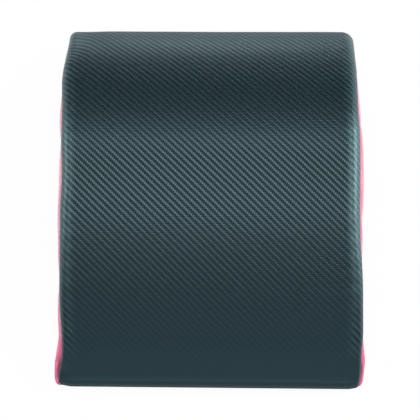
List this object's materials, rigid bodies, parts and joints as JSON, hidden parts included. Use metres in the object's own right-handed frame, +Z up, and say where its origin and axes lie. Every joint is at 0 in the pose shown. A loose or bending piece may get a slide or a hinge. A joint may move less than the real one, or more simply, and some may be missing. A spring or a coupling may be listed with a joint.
{
  "type": "ab mat",
  "caption": "Domed foam mat with a flat base in a sewn leatherette cover; lies on the floor under the lower back in sit-ups; rear zip opens the cover.",
  "frame": {"origin": "middle of the footprint, on the floor", "axes": "+Z up, +Y towards the steep end, across the mat +X"},
  "size_m": [0.3104, 0.3814, 0.08],
  "materials": {
    "foam": "closed-cell foam, matt",
    "embossed_leatherette": "embossed twill, satin",
    "pink_leatherette": "fine grain, satin",
    "non_slip_cloth": "woven, rubber coated, matt",
    "zip_tape": "woven, with moulded teeth",
    "zip_metal": "black enamel, satin"
  },
  "bodies": {
    "mat": {"foam_core": "foam", "top_panel": "embossed_leatherette", "side_panel_left": "pink_leatherette", "side_panel_right": "pink_leatherette", "base_panel": "non_slip_cloth", "rear_facing": "embossed_leatherette", "zip_tape_upper": "zip_tape", "zip_tape_lower": "zip_tape", "zip_top_stop_upper": "zip_metal", "zip_top_stop_lower": "zip_metal", "zip_bottom_stop": "zip_metal"},
    "slider": {"zip_slider": "zip_metal"},
    "pull": {"zip_pull": "zip_metal"}
  },
  "joints": [
    {"name": "zip_slide", "type": "slide", "parent": "mat", "child": "slider", "axis": [-1, 0, 0], "range_m": [0, 0.2268]},
    {"name": "pull_hinge", "type": "hinge", "parent": "slider", "child": "pull", "pos_m": [0.1134, 0.1891, 0.0113], "axis": [0, 0, -1], "range_deg": [0, 175]}
  ]
}
